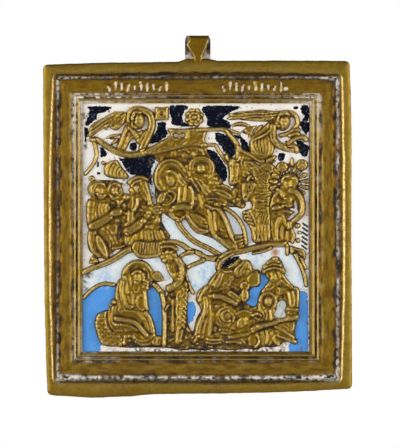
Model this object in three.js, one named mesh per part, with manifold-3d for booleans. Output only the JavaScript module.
// A small cast bronze icon: a framed plate with a relief of many figures, glass enamel melted into the
// ground between them, and a loop for a cord, cast in one with the plate.
// Millimetres, +Z up. The origin is the middle of the loop's cord hole, and the picture faces -Y.
import * as THREE from 'three';
import { mergeVertices } from 'three/addons/utils/BufferGeometryUtils.js';
import Module from 'manifold-3d';

const wasm = await Module();
wasm.setup();

// Panel frame: u runs right and v up from the lower left corner of the picture field, and w is the height
// above the flat back.
const FIELD = { left: 0, right: 39.9, bottom: 0, top: 43.6 };
const HOLE_U = 20.25;
const HOLE_V = 53.2;
const HOLE_W = 2.1;

// Heights above the flat back.
const RIM_TOP = 4.2;
const GUTTER = 2.3;
const BAND_TOP = 2.75;
const FILLET_TOP = 3.05;
const FIELD_FLOOR = 1.3;
const ENAMEL_TOP = 2.05;
const BODY = 2.2;
const LOW = 2.45;
const MIDDLE = 2.75;
const HIGH = 3.05;
const TOP = 3.35;
const ROOT = 0.9;

// Plan of the plate and of the mouldings, as distances in the panel frame.
const PLATE = {
  left: [[-5.95, -6.9], [-6.3, -3.8], [-6.6, 8], [-6.85, 40], [-6.9, 49.7]],
  top: [[-6.4, 50.4], [3, 50.7], [17.1, 50.9], [18.6, 51.3], [22.0, 51.3], [23.6, 51.05], [46.1, 51]],
  right: [[46.8, 50.3], [47.25, 38], [47.2, 20], [47.35, -5.9]],
  bottom: [[46.7, -6.5], [33.9, -7.1], [16.5, -7.4], [8.5, -7.8], [1.75, -8.1], [-5.1, -7.6]],
};
const TRAY = { left: -5.55, right: 46.0, bottom: -5.75, top: 49.3, corner: 1.8 };
const SLOPE_WIDTH = 1.05;
const BAND = { left: -3.95, right: 43.9, bottom: -4.2, top: 47.95, width: 2.2 };
const OUTER_FILLET = { left: -1.5, right: 41.5, bottom: -1.6, top: 45.2, width: 0.45 };
const INNER_FILLET = { left: -0.75, right: 40.7, bottom: -0.75, top: 44.4, width: 0.6 };
const EDGE_CHAMFER = 0.3;

// The loop: a flat strap that rises from the back, rolls over forwards and comes down as a shield.
const LOOP = { width: 4.5, back: 0.15, front: 4.5, foot: 50, top: 55.55, roll: 1.5, bevel: 0.25 };
const CORD_HOLE = { halfDepth: 1.05, halfHeight: 1.35, sides: 12 };
const SHIELD = { shoulder: 53.9, shoulderHalf: 1.9, foot: 51.5, footHalf: 0.55, reach: 3 };

// Facets of the relief's rounded forms, and the turn of a ring that one facet spans, in degrees.
const OVAL_SIDES = 7;
const SMALL_OVAL_SIDES = 5;
const RING_FACET = 60;

// Enamel cells keep clear of the casting, and cells too small to matter are left as bare ground.
const CELL_GAP = 0.3;
const LEAST_CELL_VOLUME = 1.1;

// Forms whose bevel would be finer than this keep upright sides.
const LEAST_BEVEL = 0.28;
// No form's bevel falls further than this.
const MOST_DROP = 0.35;

const bronze = new THREE.MeshStandardMaterial({ color: 0x8c6d2c, roughness: 0.42, metalness: 1 });
const enamels = {
  white: new THREE.MeshStandardMaterial({ color: 0xe8dfd6, roughness: 0.3, metalness: 0 }),
  navy: new THREE.MeshStandardMaterial({ color: 0x14182c, roughness: 0.25, metalness: 0 }),
  pale: new THREE.MeshStandardMaterial({ color: 0xd6e2e6, roughness: 0.3, metalness: 0 }),
  blue: new THREE.MeshStandardMaterial({ color: 0x4b94e4, roughness: 0.25, metalness: 0 }),
};

function toSolid(geometry) {
  geometry.deleteAttribute('normal');
  geometry.deleteAttribute('uv');
  const merged = mergeVertices(geometry, 1e-4);
  return new wasm.Manifold(new wasm.Mesh({
    numProp: 3,
    vertProperties: new Float32Array(merged.attributes.position.array),
    triVerts: new Uint32Array(merged.index.array),
  }));
}

function toMesh(name, solid, material) {
  const body = solid.getMesh();
  const geometry = new THREE.BufferGeometry();
  geometry.setAttribute('position', new THREE.BufferAttribute(body.vertProperties, 3));
  geometry.setIndex(new THREE.BufferAttribute(body.triVerts, 1));
  geometry.computeVertexNormals();
  const mesh = new THREE.Mesh(geometry, material);
  mesh.name = name;
  return mesh;
}

const join = (solids) => wasm.Manifold.union(solids);

// A slab with upright sides whose outline is grown by a margin.
function grown(shape, low, high, margin) {
  const lip = 0.01;
  const geometry = new THREE.ExtrudeGeometry(shape, {
    depth: high - low - 2 * lip, curveSegments: 3,
    bevelEnabled: true, bevelThickness: lip, bevelSize: 0, bevelOffset: margin, bevelSegments: 1,
  });
  geometry.translate(0, 0, low + lip);
  return toSolid(geometry);
}

// A plain slab with upright sides.
function prism(shape, low, high) {
  const geometry = new THREE.ExtrudeGeometry(shape, { depth: high - low, bevelEnabled: false });
  geometry.translate(0, 0, low);
  return toSolid(geometry);
}

// A slab whose edges are bevelled above and below. On the relief the lower bevel is hidden in the plate.
function bevelled(shape, low, high, bevel, drop = bevel) {
  const geometry = new THREE.ExtrudeGeometry(shape, {
    depth: high - low - 2 * drop, curveSegments: 3,
    bevelEnabled: true, bevelThickness: drop, bevelSize: bevel, bevelOffset: -bevel, bevelSegments: 1,
  });
  geometry.translate(0, 0, low + drop);
  return toSolid(geometry);
}

const closed = (points) => new THREE.Shape(points.map(([u, v]) => new THREE.Vector2(u, v)));

const box = ({ left, right, bottom, top }, inset = 0) => closed([
  [left + inset, bottom + inset], [right - inset, bottom + inset],
  [right - inset, top - inset], [left + inset, top - inset],
]);

function boxRing(size) {
  const ring = box(size);
  ring.holes.push(box(size, size.width));
  return ring;
}

function roundedBox({ left, right, bottom, top, corner }) {
  const shape = new THREE.Shape();
  shape.moveTo(left + corner, bottom);
  shape.lineTo(right - corner, bottom).quadraticCurveTo(right, bottom, right, bottom + corner);
  shape.lineTo(right, top - corner).quadraticCurveTo(right, top, right - corner, top);
  shape.lineTo(left + corner, top).quadraticCurveTo(left, top, left, top - corner);
  shape.lineTo(left, bottom + corner).quadraticCurveTo(left, bottom, left + corner, bottom);
  return shape;
}

// The relief. Each form is raised from the ground, and kept a little wider as a place without enamel.
const forms = [];
const noEnamel = [];

function raise(shape, top, bevel) {
  const drop = Math.min(MOST_DROP, bevel * 1.2);
  forms.push(bevel < LEAST_BEVEL ? prism(shape, ROOT, top) : bevelled(shape, ROOT, top, bevel, drop));
  noEnamel.push(grown(shape, ROOT, RIM_TOP, CELL_GAP));
}

// A strip along a smooth line through the points, from one width to another, with square ends.
function strip(points, startWidth, endWidth, top = MIDDLE) {
  const line = new THREE.SplineCurve(points.map(([u, v]) => new THREE.Vector2(u, v)));
  const steps = points.length - 1;
  const left = [];
  const right = [];
  for (let i = 0; i <= steps; i += 1) {
    const t = i / steps;
    const centre = line.getPoint(t);
    const along = line.getTangent(t);
    const half = THREE.MathUtils.lerp(startWidth, endWidth, t) / 2;
    left.push([centre.x - along.y * half, centre.y + along.x * half]);
    right.unshift([centre.x + along.y * half, centre.y - along.x * half]);
  }
  raise(closed([...left, ...right]), top, 0.3 * Math.min(startWidth, endWidth));
}

function mass(points, top = MIDDLE, bevel = 0.25) {
  raise(closed(points), top, bevel);
}

// The low shape of a whole figure or group, which its limbs and folds stand on.
function body(points) {
  raise(closed(points), BODY, 0);
}

function oval([u, v], halfWidth, halfHeight, top = HIGH, tilt = 0, sides = OVAL_SIDES) {
  const points = [];
  for (let i = 0; i < sides; i += 1) {
    const turn = (i / sides) * Math.PI * 2;
    const along = Math.cos(turn) * halfWidth;
    const across = Math.sin(turn) * halfHeight;
    points.push([
      u + along * Math.cos(tilt) - across * Math.sin(tilt),
      v + along * Math.sin(tilt) + across * Math.cos(tilt),
    ]);
  }
  mass(points, top, 0.4 * Math.min(halfWidth, halfHeight));
}

// Part of a ring, from one angle to another in degrees, measured from +u towards +v.
function arc([u, v], radius, width, from, to, top = MIDDLE) {
  const points = [];
  const steps = Math.max(2, Math.round(Math.abs(to - from) / RING_FACET));
  for (let i = 0; i <= steps; i += 1) {
    const turn = THREE.MathUtils.degToRad(THREE.MathUtils.lerp(from, to, i / steps));
    points.push([u + Math.cos(turn) * radius, v + Math.sin(turn) * radius]);
  }
  strip(points, width, width, top);
}

// A flat flower of pointed petals.
function star([u, v], outer, inner, petals) {
  const points = [];
  for (let i = 0; i < petals * 2; i += 1) {
    const turn = (i / petals) * Math.PI;
    const radius = i % 2 ? inner : outer;
    points.push([u + Math.cos(turn) * radius, v + Math.sin(turn) * radius]);
  }
  mass(points, LOW, 0);
}

// Rays round a middle.
function rays([u, v], inner, outer, width, count, from, to, top = LOW) {
  for (let i = 0; i < count; i += 1) {
    const turn = THREE.MathUtils.degToRad(THREE.MathUtils.lerp(from, to, i / (count - 1)));
    const reach = (r) => [u + Math.cos(turn) * r, v + Math.sin(turn) * r];
    strip([reach(inner), reach(outer)], width * 0.6, width, top);
  }
}

function leftAngel() {
  mass([
    [1.2, 37.7], [1.4, 39.5], [3, 40.6], [6, 42.1], [7.8, 42], [7.2, 40], [5.6, 39], [3.9, 39.2],
    [2.5, 38.4],
  ]);
  strip([[4.4, 37.5], [6.4, 38.3]], 0.5, 0.3, LOW);
  arc([10.1, 40.4], 2.05, 0.95, 170, -40);
  oval([9.9, 40.6], 0.95, 1.25);
  mass([
    [7.6, 39.2], [8.8, 39.3], [9.9, 38.1], [9.4, 37.1], [8.1, 37.9], [7.7, 35.2], [6.1, 35.6],
    [6.9, 37.6],
  ], HIGH);
  strip([[11.4, 38.9], [10.6, 37.6], [9.9, 36.6]], 1.3, 0.9, HIGH);
}

function plaqueAndStar() {
  mass([[13, 40.9], [15, 40.9], [15, 42.9], [13, 42.9]], LOW, 0.2);
  star([19.7, 41.2], 1.35, 0.95, 9);
  oval([19.7, 41.2], 0.65, 0.65);
  strip([[19.65, 40.2], [19.6, 39.2]], 0.4, 0.5, LOW);
}

function mountain() {
  strip([[1.6, 37.2], [2.6, 37.3], [4.4, 36], [6.5, 34.9], [9, 34.5], [11.5, 35.1], [14, 36]], 0.7, 1.3);
  strip([[2, 37.1], [2.4, 35.2], [2.1, 33.4], [0.5, 31.2]], 0.7, 0.5, LOW);
  mass([
    [13.2, 35.2], [15.8, 34.9], [17.9, 34.4], [19, 35.9], [20.9, 36.1], [21.3, 37.2], [21.5, 38.8],
    [20.2, 39.3], [17, 39], [15.4, 39.3], [15.2, 38.3], [15.6, 37.3], [14.2, 36.9],
  ], MIDDLE, 0.3);
  strip([[20.8, 39], [23, 39.2], [25.1, 39], [26.3, 37.6], [27.3, 36.2], [27.4, 34]], 0.55, 0.9);
  strip([[21.4, 36.3], [23.3, 36.4], [24.4, 34.6], [25.4, 33.2]], 0.6, 0.45, LOW);
  strip([[27.4, 35.7], [29.3, 34.7], [31, 33.7], [33, 33]], 0.7, 0.6);
}

function rightAngel() {
  mass([[26.2, 41.6], [28, 42.2], [36, 42.4], [35, 41.3], [33, 40.6], [30, 40.5], [27, 40.8]]);
  strip([[26.5, 39.8], [28, 39.9], [29.4, 39.6]], 0.5, 0.4, LOW);
  arc([35.4, 40.3], 2.15, 0.9, 80, -50);
  oval([35.2, 40.3], 1.05, 1.35);
  for (const fold of [0, 1, 2, 3]) {
    strip([[32.9 - fold * 0.35, 38.9], [32.3 - fold * 0.75, 37], [32.6 - fold * 0.85, 34.2]], 0.7, 0.85);
  }
  strip([[33.6, 38.9], [33.7, 37.3], [34.6, 36], [37.4, 35.6]], 1.1, 0.9, HIGH);
  strip([[35.6, 38.3], [37.4, 38.6], [38.2, 37.8], [39.2, 37.4]], 0.6, 0.6);
  strip([[32.7, 33.9], [33.7, 33.1]], 0.9, 0.5, LOW);
}

function threeGiftBearers() {
  body([
    [0.8, 30], [4.2, 30.4], [7.5, 30.6], [9.6, 31], [11.6, 29.6], [12, 26], [13.9, 24.9], [14.4, 22.5],
    [15, 19.6], [7.4, 19.2], [4.9, 16.6], [3.2, 16.2], [1, 17.6], [0.7, 22], [1.2, 26.5],
  ]);
  mass([[3.8, 31.2], [4, 32.7], [5.7, 33.6], [6.8, 32.5], [8, 31], [6.8, 30.3], [5.4, 30.7]]);
  oval([2.8, 28.6], 1.35, 1.5);
  oval([5.5, 28.4], 1.15, 1.35);
  strip([[1.3, 29.5], [2.6, 30.2], [4, 29.6]], 0.5, 0.5);
  strip([[8.3, 30.2], [9.6, 30.8], [11.2, 30]], 0.7, 0.7, HIGH);
  oval([9.9, 29], 1.1, 1.2);
  strip([[10.2, 28.2], [11.1, 27.1], [11.5, 25.9]], 1.5, 0.8);
  oval([7.6, 26.8], 0.7, 0.8, MIDDLE, 0, SMALL_OVAL_SIDES);
  strip([[1.6, 26.2], [1.5, 24], [1.5, 22.2]], 1.5, 1.1);
  strip([[1.7, 22.1], [4.4, 23], [6.6, 24.8]], 1.3, 1.1, HIGH);
  mass([[2.5, 26.3], [4.6, 26.6], [5.2, 25], [4.4, 23.9], [2.5, 23.4]]);
  strip([[5.9, 26.4], [6.3, 25.3]], 0.9, 0.8, LOW);
  mass([[0.9, 21.2], [2.6, 21], [3.9, 19.6], [4.7, 16.7], [3.2, 16.3], [1.5, 17.5], [0.9, 19]]);
  strip([[2.7, 19.9], [3.6, 18.4], [4.4, 16.9]], 1.4, 1.1, HIGH);
  mass([[3.5, 22.5], [6.1, 23.2], [6.8, 21], [6, 18.4], [4.9, 18.6], [4.1, 20.6]], LOW);
  strip([[8.9, 26.6], [8.7, 24.4], [7.8, 21.2]], 1.2, 1.1);
  strip([[7.7, 21.1], [9.4, 21.9], [12.3, 24.6]], 1.1, 0.9, HIGH);
  oval([13, 24.2], 1.1, 1);
  oval([11.8, 21.6], 0.95, 0.95, HIGH);
  for (const fold of [0, 1, 2, 3, 4]) {
    strip([[9.4 + fold * 1.05, 21.4 - fold * 0.1], [9.1 + fold * 1.15, 19.5]], 0.75, 0.95, LOW);
  }
  strip([[7.6, 20.4], [8.4, 19.1]], 1, 0.8, LOW);
}

function lyingMother() {
  body([
    [12.6, 29.5], [13, 31.8], [14.8, 33.6], [17.2, 33.6], [19.2, 31.6], [22.6, 28.4], [23.9, 26],
    [25.4, 23], [27.2, 19.6], [28.4, 17.9], [26.4, 17.5], [22.9, 19.9], [20.5, 20.8], [18.6, 23.2],
    [15.2, 24.2], [13.4, 25.6],
  ]);
  arc([15.5, 31.1], 2.45, 0.85, 215, -20);
  oval([15.8, 30.3], 1.15, 1.65, HIGH, 0.3);
  strip([[13.9, 29.2], [13.4, 27.4], [13.9, 25.9]], 0.7, 0.8, LOW);
  oval([14.7, 27.6], 0.85, 1.05, MIDDLE, 0.3, SMALL_OVAL_SIDES);
  mass([[16.3, 31.4], [17.6, 30.4], [18.3, 29.2], [18.5, 27], [18.2, 25.8], [15.9, 25.8], [16, 28.3]]);
  strip([[18, 29.6], [19.3, 28.2], [19.1, 25.7]], 1, 1.3, HIGH);
  strip([[19, 25.5], [17.2, 25.3], [15.2, 24.8]], 1.3, 1, HIGH);
  strip([[15.5, 24.3], [17, 23.3]], 1, 0.9);
  mass([[18.4, 24.6], [21.2, 23.6], [22.4, 21.7], [22.2, 20.9], [20.6, 20.8], [19.1, 22.1]], HIGH, 0.4);
  mass([
    [21.8, 26.1], [24, 25], [25.2, 22.5], [26.9, 18.9], [26.5, 17.7], [25, 18.6], [23.1, 19.9],
    [22.6, 21.6], [22.4, 23.8],
  ], MIDDLE, 0.3);
  strip([[23.4, 25.4], [24.2, 22.8], [25.6, 19.6]], 0.8, 0.7, TOP);
  strip([[22.4, 25], [23, 22.2], [24.3, 19.8]], 0.6, 0.6, HIGH);
  mass([[26.9, 20.1], [28.4, 20.2], [28.8, 18.7], [27.8, 17.7], [27, 18]], LOW);
  strip([[16.8, 22.8], [18.6, 20.2], [21, 18.6], [24.4, 17.1]], 0.5, 0.5, LOW);
  strip([[24.9, 25.3], [27.2, 23.5], [28.4, 21.2], [28.8, 18.9]], 0.5, 0.5, LOW);
}

function childInManger() {
  body([
    [18.6, 33.4], [20, 34.2], [22, 33.9], [23, 32], [25, 29.8], [27.9, 30], [27, 26.3], [24.5, 25.4],
    [22, 26.2], [20.6, 28],
  ]);
  arc([20.9, 32.2], 1.55, 0.7, 210, -60);
  oval([20.9, 32.1], 0.85, 0.95, HIGH);
  strip([[18.4, 32.8], [20.2, 29.9], [22.4, 27.6]], 0.8, 0.7, LOW);
  strip([[19.8, 31.2], [21.4, 29.8], [22.8, 28.3]], 0.6, 0.6);
  strip([[22.8, 28.6], [24.4, 28], [26.3, 26.7]], 1.2, 1);
  strip([[20.6, 27.4], [22, 26.6], [25.4, 26]], 0.8, 0.6, LOW);
}

function oxAndHorse() {
  strip([[26.7, 33.6], [26.6, 31.6], [26.5, 29.9]], 1.3, 1.5);
  mass([[28, 29.6], [30.3, 29.6], [29.5, 27.4], [28.6, 26.6], [28, 27.6]], HIGH, 0.35);
  mass([[28.4, 33.2], [31, 33], [33.4, 31.4], [33.6, 29.6], [30.6, 29.8], [27.9, 30.6]], LOW, 0.3);
  mass([
    [30.6, 29.6], [33.2, 29.4], [33.4, 26.2], [33.2, 22.6], [32.4, 21.2], [29.6, 21.6], [28.6, 23.2],
    [28.6, 25.2], [30, 26.8],
  ], LOW, 0.35);
  for (const row of [0, 1, 2, 3, 4]) {
    const v = 25.4 - row * 0.8;
    strip([[29.6 + (row % 2) * 0.3, v], [31.2, v + 0.4], [33, v]], 0.4, 0.4);
  }
  for (const lock of [0, 1, 2, 3, 4]) {
    strip([[28.4 + lock * 1.0, 33.1 - lock * 0.3], [29.4 + lock * 1.0, 31 - lock * 0.3]], 0.45, 0.4);
  }
  strip([[29.9, 28], [31, 27.2], [33, 27.2]], 0.5, 0.4);
  for (const leg of [30.3, 31.1, 32.1]) {
    strip([[leg, 21.3], [leg + 0.1, 19.3]], 0.6, 0.5, LOW);
  }
}

function kneelingHerdsman() {
  body([
    [33.6, 28.6], [34.6, 31.2], [36.4, 32], [38.1, 31], [38.6, 28.4], [38.9, 24.8], [37.4, 22.8],
    [37, 19.4], [33.4, 19.3], [33.1, 24],
  ]);
  rays([36.4, 29.9], 2.0, 2.9, 0.35, 9, 205, -40);
  oval([36.4, 29.8], 1.4, 1.45);
  mass([
    [33.9, 33.4], [35.6, 33.9], [37.2, 33.6], [39.4, 33.8], [39.4, 32.4], [37.4, 32.9], [35.4, 32.4],
  ], LOW);
  oval([36.1, 26.6], 1.5, 1.5);
  strip([[34.2, 28.2], [33.9, 26.8], [34, 25.4]], 1, 0.9, HIGH);
  strip([[33.8, 25.1], [35.2, 25.7]], 0.8, 0.7, HIGH);
  strip([[36.8, 28], [38.2, 27], [38.6, 25], [37.7, 23.6], [36.2, 22.6]], 0.9, 0.85, HIGH);
  oval([36.2, 22.2], 0.7, 0.85, HIGH, 0, SMALL_OVAL_SIDES);
  strip([[34.9, 23.9], [34.3, 21.8], [34, 20]], 0.6, 0.6);
  strip([[36.6, 21.2], [37.3, 20], [36.8, 18.8]], 0.5, 0.5, LOW);
}

function hills() {
  strip([[0.2, 13.9], [3, 15.2], [5.6, 16.5], [8.8, 18.1]], 0.7, 0.9);
  strip([[0.2, 9.4], [2, 11.2], [3.8, 11.9], [5.4, 11.7]], 0.6, 0.6, LOW);
  mass([[8.7, 18.2], [9.4, 19.4], [14.4, 19.4], [15, 18.8], [14, 17.2], [12.6, 16.6], [9.4, 16.6]]);
  strip([[14.4, 19.3], [16.4, 19.3], [18.3, 18.1], [20.6, 17.1], [22.6, 16.3], [24.3, 16.3]], 0.6, 0.8);
  strip([[17, 16.4], [18, 17.2], [19.4, 17.3]], 0.5, 0.6, LOW);
  strip([[17.8, 14], [19.3, 15], [21.4, 16]], 0.5, 0.6, LOW);
  strip([[17.9, 15.3], [18.1, 13.2], [19.4, 10.4]], 0.5, 0.5, LOW);
  strip([[24.1, 16.2], [25.6, 17.2], [28.2, 17.7], [31, 18.4], [35.6, 18.9]], 0.8, 0.8);
  strip([[23.8, 16], [23.6, 14.4]], 0.5, 0.5, LOW);
  strip([[36.2, 18.6], [36.1, 17.2]], 0.6, 0.5, LOW);
  mass([[36.6, 18.5], [38.6, 18.2], [39.4, 17.2], [39.3, 16], [38.1, 16.3], [36.8, 17.1]], LOW, 0.25);
  strip([[37.6, 16.9], [38.6, 14.8], [39.2, 12]], 0.7, 0.6, LOW);
  mass([[1.1, 15.8], [1.8, 17], [2.9, 16.1]], LOW, 0.2);
}

function seatedElder() {
  body([
    [4.6, 8.4], [5.4, 11.4], [7, 12.8], [7.2, 14.6], [9, 15.8], [11, 15.4], [12.2, 13.6], [11.2, 10],
    [12.6, 3.2], [13.8, 2.4], [13.4, 1.2], [8, 1.2], [5.2, 3.4], [4.5, 5],
  ]);
  mass([
    [4.3, 7.1], [2.9, 6.7], [2.1, 5.4], [2.2, 3.6], [3.3, 1.4], [6.4, 0.8], [7.9, 1.7], [6.9, 3],
    [5.2, 3.4], [4.4, 4.8],
  ], MIDDLE, 0.35);
  arc([9.7, 13.2], 2.3, 0.8, 185, -10);
  strip([[7.5, 13.2], [7.6, 10.4]], 0.7, 0.6, HIGH);
  oval([9.4, 13], 1, 1.4, TOP);
  strip([[9.4, 12], [9.3, 10.4]], 1.6, 0.7, HIGH);
  strip([[10.6, 13.2], [10.8, 11.8], [10.3, 10.2]], 0.8, 0.6);
  strip([[11.6, 12.8], [11.1, 11]], 0.8, 0.6);
  strip([[6.6, 12], [5.9, 9.9], [6.6, 6.9]], 1, 1);
  strip([[7, 10.8], [7, 9.2], [7.9, 7.4]], 0.9, 0.9, HIGH);
  strip([[8.4, 10.2], [8.7, 8.8], [9, 7.2]], 0.9, 0.8);
  strip([[7, 6.9], [9.5, 6.5]], 0.9, 0.8);
  oval([10.3, 8.3], 0.95, 1.2, HIGH);
  strip([[10.3, 10.1], [11.1, 8.8], [11.3, 7.6]], 0.7, 0.6);
  strip([[11.3, 6.9], [12, 5.2], [12.3, 3.3]], 0.9, 0.8);
  oval([5.5, 8.6], 0.4, 0.45, MIDDLE, 0, SMALL_OVAL_SIDES);
  strip([[5.4, 8], [5.2, 6.4], [5.3, 5]], 0.9, 0.9);
  strip([[4.9, 8], [4.6, 6], [5.4, 4], [7.2, 3.7]], 0.4, 0.4, LOW);
  strip([[5.8, 5.8], [8.6, 5.3], [10.2, 4], [11.5, 2.7]], 1.2, 0.9, TOP);
  strip([[5.7, 4.6], [8.4, 4.6], [10.6, 3]], 0.9, 0.8);
  strip([[9.5, 6.1], [10.8, 4.9], [12.1, 3.3]], 0.8, 0.7, LOW);
  strip([[8.9, 2.2], [10.4, 1.9], [12.4, 2.6]], 0.5, 0.6);
  strip([[9.4, 1.5], [11, 1.3], [12.3, 1.6]], 0.45, 0.5, LOW);
  oval([13, 1.9], 0.75, 0.7, MIDDLE, 0, SMALL_OVAL_SIDES);
  oval([8.3, 2.4], 0.5, 0.4, LOW, 0, SMALL_OVAL_SIDES);
}

function standingHerdsman() {
  body([
    [14, 16.4], [14.8, 17.8], [16.9, 15.9], [17.7, 15.4], [17.9, 13], [18.4, 10], [17.4, 1.4],
    [14.1, 1.2], [13.9, 10.4], [14.9, 11.8], [16, 13],
  ]);
  strip([[14.1, 10.3], [14.4, 6], [14.3, 1.4]], 0.65, 0.6);
  oval([13.1, 13.2], 0.9, 0.75, MIDDLE, 0, SMALL_OVAL_SIDES);
  strip([[12.6, 11.9], [13.6, 11.1], [14, 10.2]], 0.8, 0.8);
  oval([15, 16.6], 1.1, 1.3, HIGH);
  strip([[15.2, 15.8], [15.9, 13.5]], 1.9, 0.9, HIGH);
  strip([[17.1, 15.7], [17.3, 14], [17, 12.3]], 1, 1.1, HIGH);
  strip([[17, 12], [16.2, 11.7], [15, 11.2]], 1.1, 1, HIGH);
  mass([
    [17.5, 11.4], [18.4, 9.8], [18, 6.4], [17.4, 3.4], [16.4, 3.4], [16.2, 5.6], [16.2, 8.6],
    [16.8, 10.6],
  ], MIDDLE, 0.35);
  for (const lock of [0, 1, 2, 3, 4]) {
    strip([[16.5 + (lock % 2) * 0.5, 9.6 - lock * 1.2], [17.2, 8.5 - lock * 1.2]], 0.5, 0.35, HIGH);
  }
  strip([[16.8, 3.5], [16.8, 1.6]], 1, 0.9, LOW);
  oval([15.7, 2], 0.6, 0.45, LOW, 0.5, SMALL_OVAL_SIDES);
}

function bendingWoman() {
  body([
    [23.8, 14.4], [26.4, 14.6], [28.2, 13.4], [29.3, 12], [29.3, 9], [27.6, 8.2], [24, 9.2], [22.8, 7],
    [22.6, 2.4], [19.4, 1.6], [19.8, 5], [20.6, 8.6], [20.3, 10.2], [22.2, 12.6],
  ]);
  mass([
    [26.3, 14.2], [27.3, 15.7], [28.3, 16.3], [29.4, 15.8], [29.9, 14.5], [28.4, 13.4], [27.1, 13],
  ], HIGH, 0.4);
  strip([[24.2, 14.2], [26.3, 14.2]], 0.6, 0.7);
  strip([[24.6, 13.4], [23.6, 12.2], [23, 11]], 1.6, 1.3, HIGH);
  strip([[22.7, 10.4], [24.6, 9.9], [27.2, 8.7]], 1, 0.9, HIGH);
  strip([[26, 10.3], [27.7, 9.2]], 0.5, 0.5);
  oval([28.5, 11.5], 0.8, 0.7, MIDDLE, 0, SMALL_OVAL_SIDES);
  strip([[28.5, 11], [28.6, 9]], 1.1, 0.9);
  mass([[29, 12.9], [29.8, 14], [30.8, 14], [31.1, 12.9], [31, 11.9], [29.9, 11.6]], MIDDLE, 0.3);
  strip([[22.4, 12.1], [21, 10.2], [20.6, 8.6]], 0.9, 0.7);
  strip([[21.9, 10.6], [21.6, 7.6], [20.5, 2.8]], 1.3, 1.1, HIGH);
  strip([[22.3, 8.3], [22.2, 5.4], [22.3, 2.8]], 0.7, 0.6, LOW);
  strip([[20.9, 6.4], [20, 4.6], [19.8, 2.8]], 0.6, 0.5, LOW);
  mass([[24.6, 13], [26.8, 12.8], [28, 12.2], [27.6, 10.6], [25.6, 10.8], [23.9, 11.4]], LOW, 0.3);
  strip([[19.5, 1.8], [21.1, 2.4]], 0.7, 0.6, LOW);
  strip([[21.8, 1.7], [24.3, 1.9]], 0.7, 0.7, LOW);
}

function basinAndBather() {
  body([
    [22.5, 6.6], [23.8, 8.4], [27, 8.3], [28.6, 7.4], [30.8, 6.9], [31.5, 5.2], [29, 3.8], [25, 2],
    [22.4, 2.2],
  ]);
  arc([25.3, 6.2], 1.9, 0.5, 150, 290);
  arc([25.3, 6.2], 1.15, 0.5, 120, 400, HIGH);
  oval([25.2, 6.3], 0.5, 0.5, MIDDLE, 0, SMALL_OVAL_SIDES);
  strip([[23.1, 5.8], [23.7, 4.4], [25, 3.6]], 0.5, 0.5, LOW);
  strip([[25.6, 6.9], [27, 6.4]], 0.6, 0.6, LOW);
  oval([25.2, 7.7], 0.7, 0.45, LOW, 0, SMALL_OVAL_SIDES);
  oval([28, 5.2], 0.8, 1.1, HIGH, -0.3);
  strip([[27.2, 6.5], [28.6, 7.3], [30.1, 6.5]], 0.5, 0.5);
}

function seatedWoman() {
  body([
    [31.6, 14.2], [32.4, 13], [33, 11.8], [31.2, 10.4], [30.8, 8.2], [31.6, 6], [29.8, 4], [25.2, 2.6],
    [25.2, 1], [37.2, 1.4], [37.7, 6], [37.9, 11], [36, 12.4], [35.2, 13.6],
  ]);
  oval([33.5, 15.2], 1.75, 1.2);
  strip([[31.9, 14.1], [33.5, 14.9], [35.1, 14.1]], 0.6, 0.6, TOP);
  strip([[32.7, 16.3], [34.4, 16.3]], 0.4, 0.4, HIGH);
  oval([33.8, 13.1], 1.05, 1.35, HIGH);
  strip([[33.2, 11.6], [31.8, 10.7]], 0.9, 0.5);
  mass([
    [34.5, 12.4], [35.2, 12.5], [37.9, 11.1], [37.7, 8], [36.2, 7.9], [36, 10.2], [34.6, 10.2],
  ], MIDDLE, 0.3);
  strip([[34.8, 10.7], [36.6, 10.9]], 1, 0.5, HIGH);
  strip([[36.4, 10.3], [36.8, 8.1]], 1.1, 1.2, HIGH);
  strip([[36.2, 7.3], [37.4, 7.3]], 0.8, 0.9, HIGH);
  strip([[37.4, 6.3], [34.6, 5.5], [29.9, 4]], 1.1, 0.9, TOP);
  strip([[29.6, 3.3], [27.6, 2.8], [25.3, 2.2]], 0.9, 0.7);
  arc([32.6, 8.8], 1.55, 0.45, 240, -80);
  oval([32.8, 8.8], 0.85, 1.05, TOP);
  strip([[32.4, 7.1], [32.4, 5.9]], 0.6, 0.6, LOW);
  strip([[33.4, 7], [33.4, 5.9]], 0.6, 0.6);
  oval([30.8, 6.5], 0.65, 0.5, MIDDLE, 0.4, SMALL_OVAL_SIDES);
  mass([[35.2, 5], [36.9, 4.7], [36.7, 3.1], [35.8, 3.9]], MIDDLE, 0.25);
  strip([[34, 4.1], [37.2, 1.8]], 0.7, 0.5);
  mass([[31.3, 3.1], [33.3, 4], [34, 2.8], [33.8, 1.1], [31.6, 0.9]], LOW, 0.3);
  mass([[29.4, 2.9], [30.8, 2.7], [31.1, 1.6], [30.5, 0.8], [29.4, 1], [29, 1.9]], MIDDLE, 0.3);
}

const figures = [
  leftAngel, plaqueAndStar, mountain, rightAngel, threeGiftBearers, lyingMother, childInManger,
  oxAndHorse, kneelingHerdsman, hills, seatedElder, standingHerdsman, bendingWoman, basinAndBather, seatedWoman,
];

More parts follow.
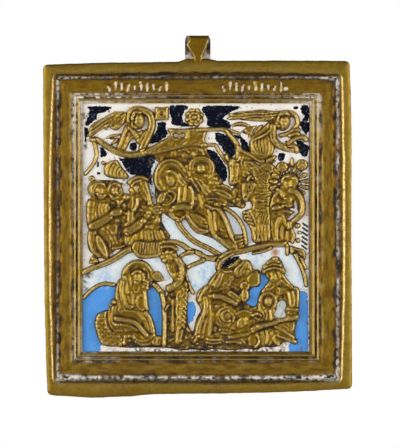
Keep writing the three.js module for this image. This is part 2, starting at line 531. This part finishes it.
function plate() {
  const outline = closed([...PLATE.left, ...PLATE.top, ...PLATE.right, ...PLATE.bottom].reverse());
  const blank = bevelled(outline, 0, RIM_TOP, EDGE_CHAMFER);
  const fall = RIM_TOP - GUTTER;
  const foot = roundedBox(TRAY);
  const trayCut = bevelled(foot, GUTTER, RIM_TOP + 2 * fall + 0.2, SLOPE_WIDTH, fall);
  const band = bevelled(boxRing(BAND), ROOT, BAND_TOP, 0.25, 0.2);
  const outerFillet = bevelled(boxRing(OUTER_FILLET), ROOT, FILLET_TOP, 0.15, 0.2);
  const innerFillet = bevelled(boxRing(INNER_FILLET), ROOT, FILLET_TOP, 0.2, 0.2);
  const field = prism(box(FIELD), FIELD_FLOOR, RIM_TOP);
  return join([blank.subtract(trayCut), band, outerFillet, innerFillet]).subtract(field);
}

// The strap's side view, swept along the cord hole.
function strap() {
  const { width, back, front, foot, top, roll, bevel } = LOOP;
  const throat = RIM_TOP - 0.1;
  const side = new THREE.Shape();
  side.moveTo(back, foot).lineTo(back, top - roll).quadraticCurveTo(back, top, back + roll, top);
  side.lineTo(front - roll, top).quadraticCurveTo(front, top, front, top - roll);
  side.lineTo(throat, SHIELD.foot).lineTo(throat, foot);
  const cordHole = new THREE.EllipseCurve(HOLE_W, HOLE_V, CORD_HOLE.halfDepth, CORD_HOLE.halfHeight);
  side.holes.push(new THREE.Path(cordHole.getPoints(CORD_HOLE.sides).slice(1)));
  const geometry = new THREE.ExtrudeGeometry(side, {
    depth: width - 2 * bevel, curveSegments: 5,
    bevelEnabled: true, bevelSegments: 1,
    bevelThickness: bevel, bevelSize: bevel, bevelOffset: -bevel,
  });
  geometry.rotateY(-Math.PI / 2);
  geometry.translate(HOLE_U + width / 2 - bevel, 0, 0);
  return toSolid(geometry);
}

// What is cut away at one side of the strap's front, so that it narrows down to the rim.
function cheek(sign) {
  const { shoulder, shoulderHalf, foot, footHalf, reach } = SHIELD;
  const points = [
    [HOLE_U + sign * reach, shoulder + 0.5], [HOLE_U + sign * shoulderHalf, shoulder],
    [HOLE_U + sign * footHalf, foot], [HOLE_U + sign * reach, foot],
  ];
  return prism(closed(sign > 0 ? points : points.reverse()), HOLE_W, LOOP.front + 1);
}

const loop = () => strap().subtract(join([cheek(-1), cheek(1)]));

for (const figure of figures) {
  figure();
}
const casting = join([plate(), loop(), ...forms]);

// Outlines of the enamel, by colour. White fills the upper scene round the navy.
const navyOutlines = [
  [[0.8, 43.1], [5, 43.1], [3.9, 42.1], [2.6, 41.2], [1.2, 39.8], [0.4, 39.8], [0.9, 41.6]],
  [[0.3, 39.2], [0.95, 39.2], [0.95, 37.9], [0.3, 37.9]],
  [[3.1, 35.9], [3.7, 35.9], [4.4, 34.7], [3.2, 34.3]],
  [[11, 36.2], [14.4, 37.6], [14.3, 40.3], [13.3, 40.6], [12.4, 38.6]],
  [[15.3, 43.2], [18.7, 43.2], [17.6, 41.6], [17.7, 40.6], [19.2, 39.9], [19.2, 39.5], [15.9, 39.8]],
  [[21, 42.8], [22, 43.2], [27.6, 43.1], [24.9, 41.1], [26, 39.5], [22.3, 39.6], [21.9, 41.2]],
  [[23.6, 37.9], [25.9, 36.6], [26.5, 34.8], [25.4, 34], [24.4, 36.3]],
  [[27.9, 37.1], [28.7, 36.8], [29.3, 35.2], [28.5, 35.3]],
  [[23.4, 33.2], [25.1, 32.6], [25, 30.8], [23.6, 30.8]],
  [[6.5, 33.9], [11.9, 34.3], [12.2, 29.5], [11.3, 30.6], [8.4, 31.3], [7.1, 33]],
  [[38.5, 43.2], [39.6, 43.2], [39.6, 41.3], [38.6, 41.6]],
  [[38.4, 40.4], [39.6, 40.4], [39.6, 38.5], [38.8, 38.9]],
  [[37.9, 36.9], [39.5, 36.3], [39.3, 34.5], [38.5, 34.7]],
  [[34.3, 34.2], [35, 34.9], [35.7, 34.2], [35, 33.6]],
].map(closed);

const clearLeft = FIELD.left + CELL_GAP;
const clearRight = FIELD.right - CELL_GAP;
const clearTop = FIELD.top - CELL_GAP;
const whiteOutlines = [
  [
    [clearLeft, 15.2], [0.8, 16.6], [1, 22], [1, 28], [3.4, 31], [11.6, 34], [28, 31], [33.5, 33.4],
    [33.4, 18.9], [35.8, 18.9], [clearRight, 16], [clearRight, clearTop], [clearLeft, clearTop],
  ],
].map(closed);
const paleOutlines = [
  [[0.3, 10], [2.4, 11.8], [5.4, 12.2], [7.2, 13.4], [8.4, 17.2], [4.6, 15.5], [0.3, 13.4]],
  [[10.8, 16.2], [14.4, 16.3], [15.3, 13.6], [12.4, 14]],
  [[13.7, 22.2], [14.9, 19.6], [18, 18.6], [24, 16.9], [26, 17.8], [19, 22.6], [18, 24.2], [15.9, 22.6]],
  [[25, 25.2], [27.6, 24.6], [30, 20.2], [28.9, 20.4], [25.9, 21]],
  [[16.2, 18.6], [17.8, 18], [17.5, 17.1], [16.6, 17.3]],
  [[17.5, 16], [20.4, 16.2], [18, 14.2]],
  [[18.4, 13.5], [21.5, 15.7], [23.5, 15.7], [23.3, 14], [20.5, 11.5], [19.6, 10.4]],
  [
    [29.3, 17.1], [31.8, 17.4], [36.1, 18.2], [36.8, 16.8], [39.2, 11.6], [35.2, 12.6], [31.6, 13.4],
    [30, 14.4],
  ],
].map(closed);
const blueOutlines = [
  [[0.3, 0.4], [3, 0.5], [2, 3.5], [2.2, 6.4], [4.6, 7.6], [5.2, 11], [3, 10.9], [0.3, 8.7]],
  [[11.4, 10.6], [12.8, 10.8], [14, 8], [13.9, 3], [12.7, 3], [12.6, 6]],
  [[18.4, 5.2], [19.1, 5], [19.9, 6.8], [19.6, 8.5], [18.7, 8.2]],
  [[29.4, 11.3], [31.2, 11.6], [31.4, 13], [32.4, 12.4], [31.4, 10.4], [30, 7.4], [28.6, 7.8]],
  [[38.1, 10.8], [39.6, 11], [39.6, 0.4], [36.9, 0.5], [37.9, 6]],
].map(closed);

function enamelCells(colour, outlines, keptOut) {
  const sheet = join(outlines.map((outline) => prism(outline, FIELD_FLOOR, ENAMEL_TOP)));
  const cells = sheet.subtract(keptOut).decompose().filter((cell) => cell.volume() > LEAST_CELL_VOLUME);
  return cells.map((cell, i) => toMesh(`enamel_${colour}_${i + 1}`, cell, enamels[colour]));
}

const castingClearance = join(noEnamel);
const navyClearance = join(navyOutlines.map((outline) => grown(outline, ROOT, RIM_TOP, CELL_GAP)));

const icon = new THREE.Group();
icon.add(toMesh('bronze_casting', casting, bronze));
icon.add(...enamelCells('navy', navyOutlines, castingClearance));
icon.add(...enamelCells('white', whiteOutlines, join([castingClearance, navyClearance])));
icon.add(...enamelCells('pale', paleOutlines, castingClearance));
icon.add(...enamelCells('blue', blueOutlines, castingClearance));
icon.rotation.x = Math.PI / 2;
icon.position.set(-HOLE_U, HOLE_W, -HOLE_V);

export default icon;
